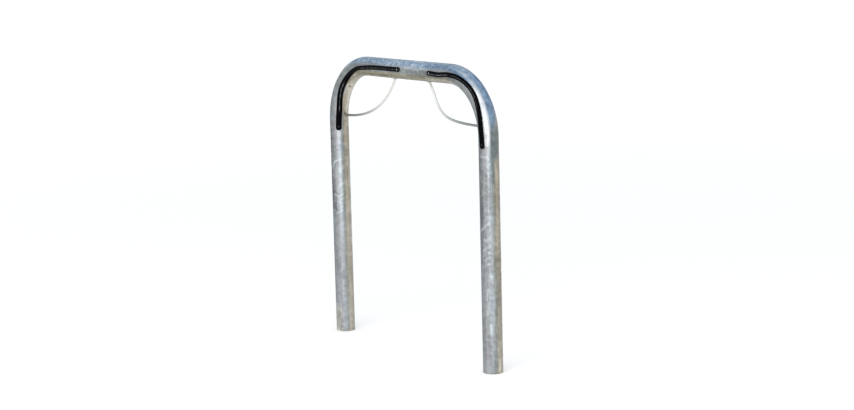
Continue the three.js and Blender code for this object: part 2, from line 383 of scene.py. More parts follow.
# blind rivets: a sleeve bulged inside the tube, and the pin that set it
rivet = {
    "shankRadius": 0.002,
    "holeRadius": 0.0022,
    "headRadius": 0.0038,
    "headHeight": 0.0015,
    "rimHeight": 0.0005,
    "rimRound": 0.0002,
    "bulgeRadius": 0.0032,
    "bulgeLength": 0.005,
    "pinRadius": 0.00095,
    "pinGap": 0.0001,
    "pinHeadRadius": 0.0018,
    "pinHeadLength": 0.0018,
    "pinSetback": 0.0005,
    "cutOverrun": 0.003,
    "sides": 32,
    "pinSides": 20,
    "bulgeSteps": 8,
    "domeSteps": 9,
}
headSeat = hoop["radius"] + strips["recessFloor"]
bulgeTop = sqrt(boreRadius ** 2 - rivet["bulgeRadius"] ** 2)
bulgeBottom = bulgeTop - rivet["bulgeLength"]


def makeHoleCutter(origin, axis):
    low, high = boreRadius - rivet["cutOverrun"], hoop["radius"] + rivet["cutOverrun"]
    hole = rivet["holeRadius"]
    outline = [(0, low), (hole, low), (hole, high), (0, high)]
    return makeLathe("cutter", outline, origin, axis, rivet["sides"])


def makeRecessCutter(origin, axis):
    low, high = boreRadius, hoop["radius"] + strips["crownHeight"] + rivet["cutOverrun"]
    hole, recess = rivet["holeRadius"], strips["recessRadius"]
    outline = [(0, low), (hole, low), (hole, headSeat), (recess, headSeat), (recess, high), (0, high)]
    return makeLathe("cutter", outline, origin, axis, strips["recessSides"])


def makeRivetSleeve(name, origin, axis):
    bore = rivet["pinRadius"] + rivet["pinGap"]
    shank, head, bulge = rivet["shankRadius"], rivet["headRadius"], rivet["bulgeRadius"]
    rimTop, top = headSeat + rivet["rimHeight"], headSeat + rivet["headHeight"]
    outline = [(bore, bulgeBottom), (shank, bulgeBottom)]
    for angle in evenSteps(0, pi, rivet["bulgeSteps"])[1:-1]:
        height = (bulgeTop + bulgeBottom) / 2 - cos(angle) * rivet["bulgeLength"] / 2
        outline.append((shank + (bulge - shank) * sin(angle), height))
    outline += [(shank, bulgeTop), (shank, headSeat), (head - rivet["rimRound"], headSeat)]
    outline += [(head, headSeat + rivet["rimRound"]), (head, rimTop)]
    for angle in evenSteps(0, pi / 2, rivet["domeSteps"])[1:]:
        radius = bore + rivet["rimRound"] + (head - bore - rivet["rimRound"]) * cos(angle)
        outline.append((radius, rimTop + (top - rimTop) * sin(angle)))
    outline.append((bore, top - rivet["rimRound"]))
    return makeLathe(name, outline, origin, axis, rivet["sides"], closed=True)


def makeRivetPin(name, origin, axis):
    # its end, broken off as it was set, is a little hollow
    pin, pinHead, edge = rivet["pinRadius"], rivet["pinHeadRadius"], rivet["rimRound"]
    low = bulgeBottom - rivet["pinHeadLength"]
    high = headSeat + rivet["headHeight"] - rivet["pinSetback"]
    outline = [(0, low), (pin, low), (pinHead, (low + bulgeBottom) / 2), (pinHead, bulgeBottom)]
    outline += [(pin, bulgeBottom), (pin, high - edge / 2), (pin - edge, high)]
    outline += [(pin / 2, high - edge), (0, high - edge)]
    return makeLathe(name, outline, origin, axis, rivet["pinSides"])


# lock rods: bent by hand across each inner corner, and welded on
rod = {
    "radius": 0.004,
    "sides": 28,
    "steps": 120,
    "endDepth": 0.0015,    # how far its ends reach into the tube's wall
}
bead = {
    "radius": 0.0026,
    "ripples": 11,
    "rippleShare": 0.22,   # these shares are of its radius
    "lumpShare": 0.12,
    "trailShare": 0.25,
    "lumpScale": 300,
    "sides": 14,
    "steps": 132,
    "crispDegrees": 60,
}
rodFits = {
    "left": {
        "legSeat": 0.0145,
        "legSetback": 0.008,
        "middleGap": 0.071,
        "legPull": 0.197,
        "barPull": 0.049,
        "barSlope": 59,
    },
    "right": {
        "legSeat": 0.0395,
        "legSetback": -0.008,
        "middleGap": 0.108,
        "legPull": 0.22,
        "barPull": 0.102,
        "barSlope": 54,
    },
}


def rodEnds(side):
    # at the leg and at the bar: distance along the tube, turn, and the rod's way out
    sizes = rodFits[side]
    legDistance = fromLeftFoot(side, legLength + sizes["legSeat"])
    barDistance = fromLeftFoot(side, halfLength - sizes["middleGap"])
    legTurn = pi / 2 + asin(sizes["legSetback"] / hoop["radius"])
    toMiddle = Vector((1 if side == "left" else -1, 0, 0))
    slope = radians(sizes["barSlope"])
    barWay = sin(slope) * wayOut(barDistance, pi / 2) - cos(slope) * toMiddle
    return {"leg": (legDistance, legTurn, toMiddle), "bar": (barDistance, pi / 2, barWay)}


def makeRod(side):
    sizes = rodFits[side]
    ends = rodEnds(side)
    (legDistance, legTurn, legWay), (barDistance, barTurn, barWay) = ends["leg"], ends["bar"]
    legSeat = onTube(legDistance, legTurn, hoop["radius"])
    barSeat = onTube(barDistance, barTurn, hoop["radius"])
    a, b = barSeat - barWay * rod["endDepth"], barSeat + barWay * sizes["barPull"]
    c, d = legSeat + legWay * sizes["legPull"], legSeat - legWay * rod["endDepth"]
    points, places = [], []
    for share in evenSteps(0, 1, rod["steps"]):
        rest = 1 - share
        centre = a * rest ** 3 + b * 3 * share * rest ** 2 + c * 3 * share ** 2 * rest + d * share ** 3
        along = ((b - a) * rest ** 2 + (c - b) * 2 * share * rest + (d - c) * share ** 2).normalized()
        across = along.cross(frontWay).normalized()
        sideways = across.cross(along)
        for turn in evenSteps(0, 2 * pi, rod["sides"])[:-1]:
            points.append(centre + rod["radius"] * (cos(turn) * across + sin(turn) * sideways))
            places.append((rod["radius"] * cos(turn), rod["radius"] * sin(turn), share))
    faces = ringFaces(rod["steps"] + 1, rod["sides"])
    faces += [tuple(range(rod["sides"])), tuple(range(len(points) - rod["sides"], len(points)))]
    return makePiece(f"lockRod_{side}", points, faces, places)


def beadLine(distance, turn, way):
    # the line where the rod's skin meets the tube's
    centre, along = hoopPlace(distance)[:2]
    seat = onTube(distance, turn, hoop["radius"])
    across = way.orthogonal().normalized()
    sideways = way.cross(across)
    line = []
    for angle in evenSteps(0, 2 * pi, bead["steps"])[:-1]:
        start = seat + rod["radius"] * (cos(angle) * across + sin(angle) * sideways) - centre
        flatStart, flatWay = start - along * start.dot(along), way - along * way.dot(along)
        b, c = flatStart.dot(flatWay), flatStart.length_squared - hoop["radius"] ** 2
        reach = (-b + sqrt(b * b - flatWay.length_squared * c)) / flatWay.length_squared
        line.append(centre + start + way * reach)
    return line


def makeWeld(side, end):
    # a rippled bead round the rod's end
    distance, rodTurn, way = rodEnds(side)[end]
    centre, along = hoopPlace(distance)[:2]
    line = beadLine(distance, rodTurn, way)
    points, places = [], []
    for index, point in enumerate(line):
        onward = (line[(index + 1) % len(line)] - line[index - 1]).normalized()
        offAxis = point - centre
        out = (offAxis - along * offAxis.dot(along)).normalized()
        beside = onward.cross(out).normalized()
        ripple = abs(sin(bead["ripples"] * pi * index / len(line)))
        lump = noise.noise(point * bead["lumpScale"]) * bead["lumpShare"]
        radius = bead["radius"] * (1 - bead["rippleShare"] * (1 - ripple) + lump)
        for turn in evenSteps(0, 2 * pi, bead["sides"])[:-1]:
            trail = onward * bead["radius"] * bead["trailShare"] * sin(turn) * (1 - ripple)
            points.append(point + radius * (cos(turn) * beside + sin(turn) * out) + trail)
            places.append((radius * cos(turn), radius * sin(turn), index / len(line)))
    faces = ringFaces(len(line), bead["sides"], True)
    return makePiece(f"weld_{side}_{end}", points, faces, places, bead["crispDegrees"])


# finishes; in their dictionaries a noise is scale and detail, a relief is strength and depth,
# and a fade is from and to, with the values there where they aren't 0 and 1
def newFinish(name):
    material = bpy.data.materials.new(name)
    material.use_nodes = True
    return material, material.node_tree, material.node_tree.nodes["Principled BSDF"]


def addNode(tree, kind, inputs=None, **settings):
    node = tree.nodes.new("ShaderNode" + kind)
    for key, value in settings.items():
        setattr(node, key, value)
    for key, value in (inputs or {}).items():
        setSocket(tree, node.inputs[key], value)
    return node


def setSocket(tree, socket, value):
    if isinstance(value, bpy.types.NodeSocket):
        tree.links.new(value, socket)
    else:
        socket.default_value = value


def calc(tree, operation, first, second=0.0):
    return addNode(tree, "Math", {0: first, 1: second}, operation=operation).outputs[0]


def calcVector(tree, operation, first, second, third=(0, 0, 0)):
    node = addNode(tree, "VectorMath", {0: first, 1: second, 2: third}, operation=operation)
    return node.outputs["Value" if operation in ("DOT_PRODUCT", "DISTANCE") else "Vector"]


def scaled(tree, vector, amount):
    return addNode(tree, "VectorMath", {0: vector, "Scale": amount}, operation="SCALE").outputs[0]


def fade(tree, value, low, high, toLow=0.0, toHigh=1.0):
    # a soft step: toLow below low, toHigh above high
    inputs = {"Value": value, "From Min": low, "From Max": high, "To Min": toLow, "To Max": toHigh}
    return addNode(tree, "MapRange", inputs, interpolation_type="SMOOTHSTEP").outputs[0]


def window(tree, value, centre, reach, soft):
    # 1 within reach of the centre, fading to 0
    away = calc(tree, "ABSOLUTE", calc(tree, "SUBTRACT", value, centre))
    return fade(tree, away, reach, reach + soft, 1.0, 0.0)


def swing(tree, value, amount):
    # a noise value swung about 0
    return calc(tree, "MULTIPLY", calc(tree, "SUBTRACT", value, 0.5), amount)


def mix(tree, share, first, second):
    node = addNode(tree, "Mix", {0: share, 6: first, 7: second}, data_type="RGBA")
    return node.outputs[2]


def grain(tree, place, scale, detail, stretch=1.0):
    # noise; a small stretch draws it out along the piece
    moved = calcVector(tree, "MULTIPLY", place, (1, 1, stretch))
    return addNode(tree, "TexNoise", {"Vector": moved, "Scale": scale, "Detail": detail}).outputs[0]


def ownPlace(tree):
    return addNode(tree, "Attribute", attribute_name="ownPlace").outputs["Vector"]


def facing(tree, way):
    # 1 where the surface faces that way, -1 where it faces from it
    normal = addNode(tree, "NewGeometry").outputs["Normal"]
    return calcVector(tree, "DOT_PRODUCT", normal, way)


def bump(tree, shader, height, strength, depth):
    inputs = {"Height": height, "Strength": strength, "Distance": depth}
    tree.links.new(addNode(tree, "Bump", inputs).outputs[0], shader.inputs["Normal"])


def darker(colour, share):
    return tuple(share * part for part in colour[:3]) + (1,)


# the tube's zinc: matt, spangled and scuffed, with reflections, highlights and shade painted into its
# colour
tubeZinc = {
    "plain": (0.365, 0.37, 0.378, 1),
    "paintedBendHighlight": (0.56, 0.57, 0.575, 1),    # painted highlight where it is bent
    "ash": (0.64, 0.69, 0.71, 1),        # white zinc runs and scuffs, and painted glints in the speckled patches
    "rust": (0.1, 0.045, 0.02, 1),
    "darkGreenReflection": (0.17, 0.197, 0.198, 1),    # painted reflection, dark and a little green
    # painted reflection, warm and a little pink
    "rosyReflection": (0.46, 0.42, 0.36, 1),
    # painted light: pale patches on the bends' insides and the feet
    "paintedLight": (0.66, 0.62, 0.53, 1),
    "glancing": (0.45, 0.48, 0.5, 1),    # its sheen where it is seen edge on
    "crystalScale": 95,
    "wander": {"Scale": 70, "Detail": 3},
    "wanderReach": 0.003,                # how far crystals and scratches stray
    "relief": (0.2, 0.0003),
    "crystalRelief": 0.2,                # beside 1 for the finest noise
    "ashRelief": 0.8,
    "ashRough": 0.1,
}
# noise on it: scale, detail, and stretch along the tube
zincGrains = {
    "broad": (14, 4, 0.5),
    "blotches": (55, 3, 1.3),
    "streaks": (160, 3, 0.06),
    "fine": (300, 3, 1),
    "tintEdge": (24, 5, 0.4),
    "mottled": (110, 4, 0.8),
    "smeared": (52, 5, 1),
    "speckled": (130, 4, 1.2),
    "raggedAlong": (34, 4, 1),
    "raggedRound": (46, 4, 1),
}
# how much these lighten and darken it
toneSwings = {"broad": 0.7, "blotches": 0.5, "streaks": 0.6, "crystalTone": 0.2, "fine": 0.4}
mottledSwing = 1.6
# how far noise moves the edges: along the tube in metres, round it in degrees, else in shares
edgeSwings = {
    "tint": 0.3,
    "tintBlotches": 0.16,
    "paintedPatch": 4,
    "paintedBendHighlight": 0.9,
    "smeared": 0.24,
    "along": 0.12,
    "round": 30,
}
zincFades = {
    "tinted": (0.05, 0.65, 0.75, 1.0),       # weaker near the ground, by height
    "paintedBendHighlight": (0.2, 0.9),
    "paintedPatch": (0.1, 1.0),
    "smeared": (0.52, 0.78, 0.0, 0.75),
    "speckled": (0.4, 0.75),
    "scratched": (0.35, 0.55, 0.5, 1.0),
    "rusty": (0.3, 0.5),
    "rough": (0.4, 1.4, 0.3, 0.42),
    "metallic": (0.0, 1.0, 0.78, 0.35),      # ash is less so
}
# painted reflections, highlight and shade, by the way the skin faces: colour, way,
# from a low to a high share of it, and how far the edge wanders
paintedReflections = {
    "lit": ((0.41, 0.435, 0.455, 1), (0.84, -0.545, 0.0), 0.95, 0.98, 0.03),
    "dull": ((0.285, 0.303, 0.306, 1), (-0.42, -0.88, -0.22), 0.7, 0.82, 0.4),
    "warmReflection": ((0.475, 0.42, 0.325, 1), (0.9, 0.25, -0.5), 0.76, 0.86, 0.5),
    "greyGreenReflection": ((0.33, 0.34, 0.3, 1), (0.966, -0.259, 0.0), 0.98, 0.99, 0.02),
    "groundReflection": ((0.31, 0.288, 0.21, 1), (-0.1, -0.45, -0.88), 0.64, 0.8, 0.6),
    "paleGroundReflection": ((0.385, 0.36, 0.27, 1), (0.0, -0.2, -0.98), 0.78, 0.94, 0.5),
    "rosyReflection": (tubeZinc["rosyReflection"], (0.6, -0.1, -0.79), 0.88, 0.96, 0.5),
    "skyReflection": ((0.27, 0.375, 0.49, 1), (0.45, -0.2, 0.9), 0.44, 0.72, 1),
    "paleSkyReflection": ((0.48, 0.54, 0.585, 1), (0.0, 0.0, 1.0), 0.84, 0.96, 0.3),
}
# where patches lie: distance from the left foot, reach, turn and reach in degrees, strength
smears = {
    "rightLeg": (2.09, 0.15, -52, 12, 0.7),
    "rightLegTop": (1.8, 0.04, -52, 8, 0.4),
    "leftLeg": (0.47, 0.08, 50, 12, 0.5),
    "bar": (1.18, 0.02, -58, 10, 1.2),
    "leftLegRear": (0.42, 0.14, 140, 20, 0.9),
    "rightLegRear": (1.98, 0.16, -146, 20, 0.9),
    "barRear": (1.31, 0.04, -126, 14, 1.1),
}
# pale zinc speckles, partly painted glints
specklesAndGlints = {
    "bar": (1.22, 0.1, -44, 28, 1),
    "rightBend": (1.46, 0.12, -66, 20, 0.4),
    "leftBend": (0.98, 0.14, -52, 24, 0.8),
    "rightLeg": (2.1, 0.2, -46, 16, 0.25),
    "barRear": (1.19, 0.13, -136, 26, 0.7),
    "leftBendRear": (0.93, 0.1, -118, 20, 0.6),
}
shades = {
    "rightLegFront": (1.84, 0.12, 5, 8, 0.34),
    "rightLegUpper": (1.81, 0.05, -44, 18, 0.18),
    "rightBendFoot": (1.705, 0.02, -33, 9, 0.3),
    "rightLegBlot": (1.726, 0.008, -80, 8, 0.2),
    "rightLegMiddle": (2.08, 0.22, -42, 12, 0.17),
    "rightLegBack": (2.05, 0.3, -104, 20, 0.1),
    "rightLegFar": (2.17, 0.12, -98, 20, 0.33),
    "rightLegFoot": (2.31, 0.06, -62, 18, 0.22),
    "rightLegKnee": (1.76, 0.04, -8, 20, 0.2),
    "rightLegInside": (2.03, 0.03, 12, 8, 0.25),
    "rightLegStripe": (2.1, 0.4, -56, 8, 0.1),
    "leftLegEdge": (0.57, 0.12, -50, 38, 0.45),
    "leftLegOuter": (0.47, 0.24, -68, 30, 0.18),
    "leftLegFront": (0.6, 0.24, 14, 8, 0.12),
    "leftLegDark": (0.46, 0.04, 5, 16, 0.4),
    "leftLegLow": (0.27, 0.12, -4, 18, 0.12),
    "leftLegFoot": (0.14, 0.05, 50, 8, 0.16),
    "leftLegInside": (0.58, 0.14, 106, 26, 0.2),
    "barStrip": (1.42, 0.06, -36, 8, 0.2),
    "barFront": (1.36, 0.13, 12, 16, 0.32),
    "barUpper": (1.31, 0.06, -27, 5, 0.18),
}
mottled = {
    "rightBend": (1.59, 0.07, -88, 18, 1),
    "leftBend": (0.84, 0.07, -30, 22, 0.6),
    "leftLeg": (0.58, 0.12, -41, 47, 1.2),
    "leftLegOuter": (0.42, 0.2, -68, 28, 0.7),
    "bar": (1.2, 0.25, -55, 28, 0.35),
    "leftLegRear": (0.5, 0.16, 150, 24, 0.7),
    "rightLegRear": (1.86, 0.18, -150, 24, 0.8),
}
# painted highlights: patches on the bends made brighter where a highlight falls
paintedBendHighlight = {
    "rightBend": (1.625, 0.065, -44, 20, 1),
    "rightBendTop": (1.53, 0.03, -56, 6, 0.6),
    "rightBendInside": (1.51, 0.04, 40, 8, 1),
}
# painted reflection and painted light: patches in these colours
paintedPatches = {
    "darkGreenReflection": {
        "rightLegTop": (1.717, 0.015, -90, 22, 1),
        "rightLegGreen": (1.775, 0.03, -76, 3, 0.7),
    },
    "rosyReflection": {
        "bar": (1.38, 0.03, 50, 14, 1),
    },
    "paintedLight": {
        "leftBendInside": (0.78, 0.06, 121, 17, 0.9),
        "leftBendUnder": (0.89, 0.03, 92, 22, 0.7),
        "leftBarUnder": (0.98, 0.07, 62, 12, 0.42),
        "leftFoot": (0.03, 0.03, 10, 24, 0.6),
        "rightFoot": (2.4, 0.03, -112, 18, 0.4),
    },
}
rust = {
    "leftBend": (0.849, 0.003, 78, 5, 1),
    # a dark spot in rust's colour where the left rod meets the leg
    "leftWeld": (0.724, 0.004, 96, 6, 0.5),
}
# how far a patch's edge fades, in metres along the tube and in degrees round it
patchEdges = {
    "plain": (0.03, 10),
    "mottled": (0.1, 10),
    "paintedBendHighlight": (0.06, 7),
    "paintedPatch": (0.07, 14),
    "rusty": (0.004, 3),
}
# single scratches and blots: the photograph's pixels at their two ends, half width in metres, strength
scratches = {
    "leftLegTop": ((333.9, 150), (340, 146.7), 0.0014, 0.4),
    "leftLegUpper": ((333.8, 162.2), (340.4, 159.2), 0.0018, 0.9),
    "leftLegSlant": ((332.6, 167), (335.2, 160.6), 0.0018, 0.8),
    "leftLegBlot": ((340.2, 168), (341, 171), 0.004, 0.6),
    "leftLegSmallBlot": ((340.5, 184.5), (342, 183.5), 0.004, 0.8),
    "leftLegHook": ((335.5, 194.5), (338.5, 196.8), 0.0022, 0.6),
    "leftLegHookTip": ((338.5, 196.8), (343, 193.5), 0.0022, 0.8),
    "leftLegMiddle": ((337, 202), (342.5, 198.5), 0.0015, 0.6),
    "leftLegLower": ((337, 205), (342.5, 201), 0.0015, 0.6),
    "leftLegLowest": ((336.5, 213.5), (342.8, 210.4), 0.002, 0.5),
    "rightLegTop": ((481, 157), (487, 157), 0.004, 0.35),
    "rightLegUpper": ((482, 230), (489, 223.5), 0.004, 0.45),
    "rightLegRungHigh": ((485, 241), (490, 239), 0.004, 0.4),
    "rightLegRungMiddle": ((484, 250), (490, 247), 0.004, 0.4),
    "rightLegRungLow": ((485, 260), (491, 257), 0.002, 0.5),
    "rightLegRunHigh": ((488, 290), (487, 300), 0.003, 0.5),
    "rightLegRunMiddle": ((489, 303), (488, 315), 0.003, 0.5),
    "rightLegRunLow": ((491, 326), (491.8, 333), 0.005, 0.7),
    "barUpright": ((417.4, 68), (417.4, 71.4), 0.0015, 0.7),
    "barTopBlot": ((415, 61.5), (420, 61.8), 0.005, 0.9),
    "barBlot": ((413, 64.5), (414, 64.2), 0.004, 0.8),
    "barLowBlot": ((409.7, 67), (410.4, 67.2), 0.004, 0.6),
    "barSlant": ((430, 62), (433.3, 65.8), 0.0014, 0.5),
    "barRight": ((446, 70), (450.5, 66.9), 0.0014, 0.6),
    "rightBend": ((452, 68.5), (465, 76.9), 0.0016, 0.5),
}
# shares of a scratch's half width: where it starts to fade, and where it ends
scratchCoreShare, scratchEdgeShare = 0.4, 1.6


def anyPatch(tree, distance, turn, patches, edge="plain"):
    # the strongest of some patches
    soft, softTurn = patchEdges[edge]
    total = 0.0
    for middle, reach, turned, spread, strength in patches.values():
        patch = calc(tree, "MULTIPLY", window(tree, distance, middle, reach, soft), strength)
        patch = calc(tree, "MULTIPLY", window(tree, turn, turned, spread, softTurn), patch)
        total = calc(tree, "MAXIMUM", patch, total)
    return total


def flatPlace(pixel):
    # where a pixel lies: distance and way round the tube, both in metres
    distance, turn = seenOnTube(pixel)
    return Vector((distance, turn * hoop["radius"], 0))


def anyScratch(tree, flat):
    total = 0.0
    for startPixel, endPixel, width, strength in scratches.values():
        start = flatPlace(startPixel)
        way = flatPlace(endPixel) - start
        fromStart = calcVector(tree, "SUBTRACT", flat, start)
        share = calcVector(tree, "DOT_PRODUCT", fromStart, way / way.length_squared)
        share = addNode(tree, "Clamp", {0: share}).outputs[0]
        away = calcVector(tree, "DISTANCE", fromStart, scaled(tree, way, share))
        scratch = fade(tree, away, width * scratchCoreShare, width * scratchEdgeShare, strength, 0.0)
        total = calc(tree, "MAXIMUM", scratch, total)
    return total


def readSkin(tree):
    # what the tube's finish depends on: place on the straightened tube, noise and crystals
    place = ownPlace(tree)
    across = addNode(tree, "SeparateXYZ", {0: place}).outputs
    skin = {name: grain(tree, place, *size) for name, size in zincGrains.items()}
    skin["distance"] = across["Z"]
    angle = calc(tree, "ARCTAN2", across["Y"], across["X"])
    skin["turn"] = calc(tree, "MULTIPLY", angle, 180 / pi)
    strayAlong = swing(tree, skin["raggedAlong"], edgeSwings["along"])
    strayRound = swing(tree, skin["raggedRound"], edgeSwings["round"])
    skin["raggedDistance"] = calc(tree, "ADD", skin["distance"], strayAlong)
    skin["raggedTurn"] = calc(tree, "ADD", skin["turn"], strayRound)
    tintEdge = swing(tree, skin["tintEdge"], edgeSwings["tint"])
    skin["wobble"] = calc(tree, "ADD", tintEdge, swing(tree, skin["blotches"], edgeSwings["tintBlotches"]))
    reach = tubeZinc["wanderReach"]
    wander = addNode(tree, "TexNoise", {"Vector": place, **tubeZinc["wander"]}).outputs["Color"]
    skin["wander"] = calcVector(tree, "MULTIPLY_ADD", wander, (2 * reach,) * 3, (-reach,) * 3)
    warped = calcVector(tree, "ADD", place, skin["wander"])
    cells = addNode(tree, "TexVoronoi", {"Vector": warped, "Scale": tubeZinc["crystalScale"]})
    crystals = addNode(tree, "SeparateColor", {0: cells.outputs["Color"]}).outputs
    skin["crystalTone"], skin["crystalRough"], skin["crystalHeight"] = crystals
    return skin


def paintReflections(tree, skin):
    # the painted reflections' and shade's edges wander, and they fade towards the feet
    position = addNode(tree, "NewGeometry").outputs["Position"]
    height = addNode(tree, "SeparateXYZ", {0: position}).outputs["Z"]
    faded = fade(tree, height, *zincFades["tinted"])
    colour = tubeZinc["plain"]
    for tint, way, low, high, wandering in paintedReflections.values():
        stray = calc(tree, "MULTIPLY", skin["wobble"], wandering)
        share = fade(tree, calc(tree, "ADD", facing(tree, way), stray), low, high)
        colour = mix(tree, calc(tree, "MULTIPLY", share, faded), colour, tint)
    return colour


def paintHighlightsAndPatches(tree, skin, colour):
    # painted highlight on the bends
    highlightShare = anyPatch(tree, skin["distance"], skin["turn"], paintedBendHighlight, "paintedBendHighlight")
    highlightShare = calc(tree, "ADD", highlightShare, swing(tree, skin["blotches"], edgeSwings["paintedBendHighlight"]))
    colour = mix(tree, fade(tree, highlightShare, *zincFades["paintedBendHighlight"]), colour, tubeZinc["paintedBendHighlight"])
    # painted reflections and painted light, in patches
    stray = calc(tree, "MULTIPLY", skin["wobble"], edgeSwings["paintedPatch"])
    for patchName, patches in paintedPatches.items():
        share = anyPatch(tree, skin["distance"], skin["turn"], patches, "paintedPatch")
        share = fade(tree, calc(tree, "ADD", share, stray), *zincFades["paintedPatch"])
        colour = mix(tree, share, colour, tubeZinc[patchName])
    return colour


def toneZinc(tree, skin, colour):
    shaded = anyPatch(tree, skin["raggedDistance"], skin["raggedTurn"], shades)
    tone = calc(tree, "SUBTRACT", 1.0, shaded)
    for name, amount in toneSwings.items():
        tone = calc(tree, "ADD", swing(tree, skin[name], amount), tone)
    patchy = anyPatch(tree, skin["raggedDistance"], skin["raggedTurn"], mottled, "mottled")
    patchy = calc(tree, "MULTIPLY", patchy, swing(tree, skin["mottled"], mottledSwing))
    return scaled(tree, colour, calc(tree, "ADD", tone, patchy))


def gatherAsh(tree, skin):
    # smears, speckled patches and scratches; the speckled patches are partly painted glints
    smeared = anyPatch(tree, skin["distance"], skin["turn"], smears)
    smeared = calc(tree, "ADD", skin["smeared"], swing(tree, smeared, edgeSwings["smeared"]))
    smeared = fade(tree, smeared, *zincFades["smeared"])
    speckled = fade(tree, skin["speckled"], *zincFades["speckled"])
    near = anyPatch(tree, skin["distance"], skin["turn"], specklesAndGlints)
    speckled = calc(tree, "MULTIPLY", speckled, near)
    wayRound = calc(tree, "MULTIPLY", skin["turn"], hoop["radius"] * pi / 180)
    flat = addNode(tree, "CombineXYZ", {0: skin["distance"], 1: wayRound}).outputs[0]
    flat = calcVector(tree, "MULTIPLY_ADD", skin["wander"], (1, 1, 0), flat)
    broken = fade(tree, skin["fine"], *zincFades["scratched"])
    scratched = calc(tree, "MULTIPLY", anyScratch(tree, flat), broken)
    return calc(tree, "MAXIMUM", calc(tree, "MAXIMUM", smeared, speckled), scratched)


def makeTubeFinish():
    material, tree, shader = newFinish("tubeZinc")
    skin = readSkin(tree)
    ash = gatherAsh(tree, skin)
    colour = paintHighlightsAndPatches(tree, skin, paintReflections(tree, skin))
    colour = mix(tree, ash, toneZinc(tree, skin, colour), tubeZinc["ash"])
    rusted = anyPatch(tree, skin["distance"], skin["turn"], rust, "rusty")
    rusted = calc(tree, "MULTIPLY", rusted, fade(tree, skin["fine"], *zincFades["rusty"]))
    setSocket(tree, shader.inputs["Base Color"], mix(tree, rusted, colour, tubeZinc["rust"]))
    shader.inputs["Specular Tint"].default_value = tubeZinc["glancing"]
    setSocket(tree, shader.inputs["Metallic"], fade(tree, ash, *zincFades["metallic"]))
    rough = calc(tree, "ADD", skin["crystalRough"], skin["fine"])
    rough = fade(tree, rough, *zincFades["rough"])
    rough = calc(tree, "ADD", rough, calc(tree, "MULTIPLY", ash, tubeZinc["ashRough"]))
    setSocket(tree, shader.inputs["Roughness"], rough)
    relief = calc(tree, "MULTIPLY", skin["crystalHeight"], tubeZinc["crystalRelief"])
    relief = calc(tree, "ADD", relief, skin["fine"])
    relief = calc(tree, "ADD", relief, calc(tree, "MULTIPLY", ash, tubeZinc["ashRelief"]))
    bump(tree, shader, relief, *tubeZinc["relief"])
    return material


# the rods' zinc is brighter; its darkening towards the leg is painted shade and reflection
rodZinc = {
    "pale": (0.77, 0.765, 0.705, 1),
    "dull": (0.27, 0.28, 0.25, 1),
    "shadingShares": (0.45, 0.95),           # shares of its length, from the bar
    "shadingSwing": 0.2,
    "tone": (260, 3),
    "metallic": 0.45,
    "rough": (0.2, 0.8, 0.36, 0.5),
    "grit": (600, 3),
    "relief": (0.2, 0.0002),
}


def makeRodFinish():
    material, tree, shader = newFinish("rodZinc")
    place = ownPlace(tree)
    tone = grain(tree, place, *rodZinc["tone"])
    share = addNode(tree, "SeparateXYZ", {0: place}).outputs["Z"]
    share = calc(tree, "ADD", share, swing(tree, tone, rodZinc["shadingSwing"]))
    colour = mix(tree, fade(tree, share, *rodZinc["shadingShares"]), rodZinc["pale"], rodZinc["dull"])
    setSocket(tree, shader.inputs["Base Color"], colour)
    shader.inputs["Metallic"].default_value = rodZinc["metallic"]
    setSocket(tree, shader.inputs["Roughness"], fade(tree, tone, *rodZinc["rough"]))
    bump(tree, shader, grain(tree, place, *rodZinc["grit"]), *rodZinc["relief"])
    return material


# the welds at the legs' ends are darker as painted shade, like the rods there
weldZinc = {
    "dull": (0.32, 0.3, 0.25, 1),
    "pale": (0.62, 0.63, 0.6, 1),
    "grain": (700, 3),
    "patchy": (0.35, 0.65),
    "darkShare": 0.6,
    "metallic": 0.4,
    "roughness": 0.5,
}


def makeWeldFinish(name, colour):
    material, tree, shader = newFinish(name)
    tone = grain(tree, ownPlace(tree), *weldZinc["grain"])
    dark = darker(colour, weldZinc["darkShare"])
    colour = mix(tree, fade(tree, tone, *weldZinc["patchy"]), dark, colour)
    setSocket(tree, shader.inputs["Base Color"], colour)
    shader.inputs["Metallic"].default_value = weldZinc["metallic"]
    shader.inputs["Roughness"].default_value = weldZinc["roughness"]
    return material


rubber = {
    "plain": (0.0015, 0.0015, 0.002, 1),
    # painted highlight along the crown
    "crownHighlight": (0.16, 0.16, 0.164, 1),
    "lineAside": 0.0005,    # from the strip's middle to the painted highlight line
    "lineReach": 0.0004,
    "lineSoft": 0.001,
    "lineSwing": 0.004,
    "lineNoise": (18, 2),
    "runSoft": 0.03,
    "dust": (240, 4, 0.4),
    "crownHighlightFade": (0.4, 0.6, 0.3, 1.0),
    "gloss": 0.02,
    "rough": (0.3, 0.7, 0.2, 0.3),
    "grit": (900, 3),
    "relief": (0.15, 0.0002),
}
# where each crown has a painted highlight line: distance from its own foot, reach, strength
crownHighlightRuns = {
    "left": [(0.8, 0.05, 1), (1.1, 0.1, 0.45)],
    "right": [(1.03, 0.06, 1), (0.86, 0.06, 0.35)],
}


